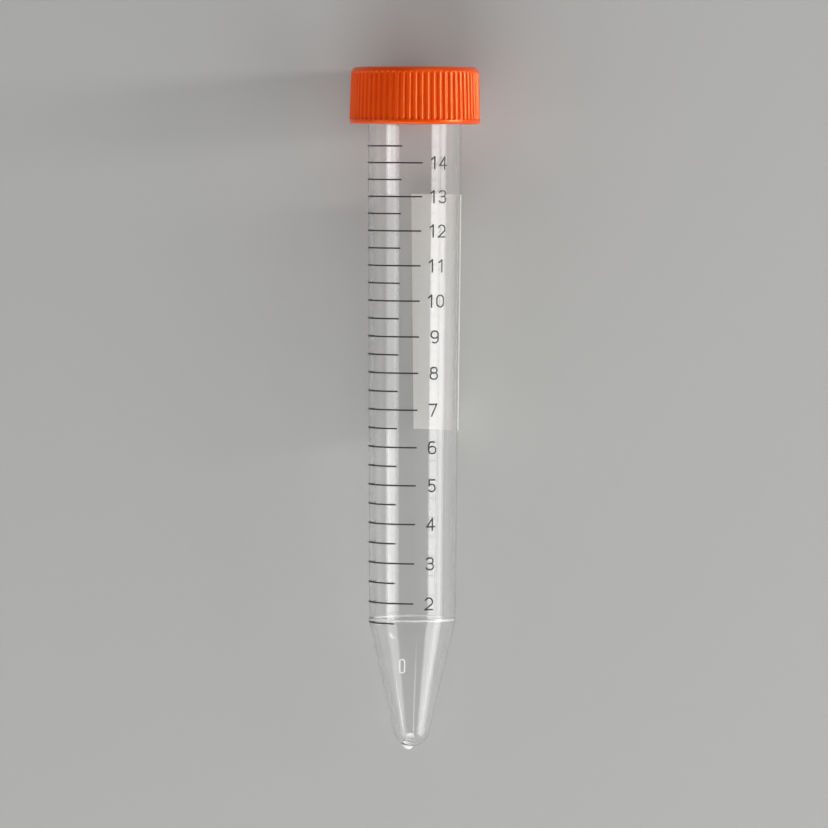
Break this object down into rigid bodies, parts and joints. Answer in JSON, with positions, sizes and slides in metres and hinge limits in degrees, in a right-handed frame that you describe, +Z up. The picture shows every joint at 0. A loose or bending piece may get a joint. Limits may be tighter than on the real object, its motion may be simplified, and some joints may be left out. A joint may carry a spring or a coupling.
{
  "type": "15 ml conical tube",
  "caption": "Clear round laboratory tube with a conical bottom, a printed millilitre scale, a white writing patch and a ribbed orange screw cap, lying on its side.",
  "frame": {"origin": "on the bench under the middle of the part, as it lies at rest", "axes": "+Y runs along the tube towards its cap, +X to the right of the scale, +Z up from the bench through the scale; the tube's axis climbs 2.5 degrees towards the cap"},
  "size_m": [0.023, 0.1204, 0.023],
  "materials": {
    "clear_plastic": "injection-moulded clear polyester, glossy inside and out",
    "orange_plastic": "moulded high-density polyethylene, satin",
    "white_ink": "screen-printed white ink, matt",
    "black_ink": "screen-printed black ink, satin"
  },
  "bodies": {
    "tube": {"tube": "clear_plastic", "writing_patch": "white_ink", "scale_lines": "black_ink", "scale_numerals": "black_ink"},
    "cap": {"cap": "orange_plastic"}
  },
  "joints": [
    {"name": "cap_lift", "type": "slide", "parent": "tube", "child": "cap", "axis": [0, 0.999, 0.0441], "range_m": [0, 0.03]}
  ]
}
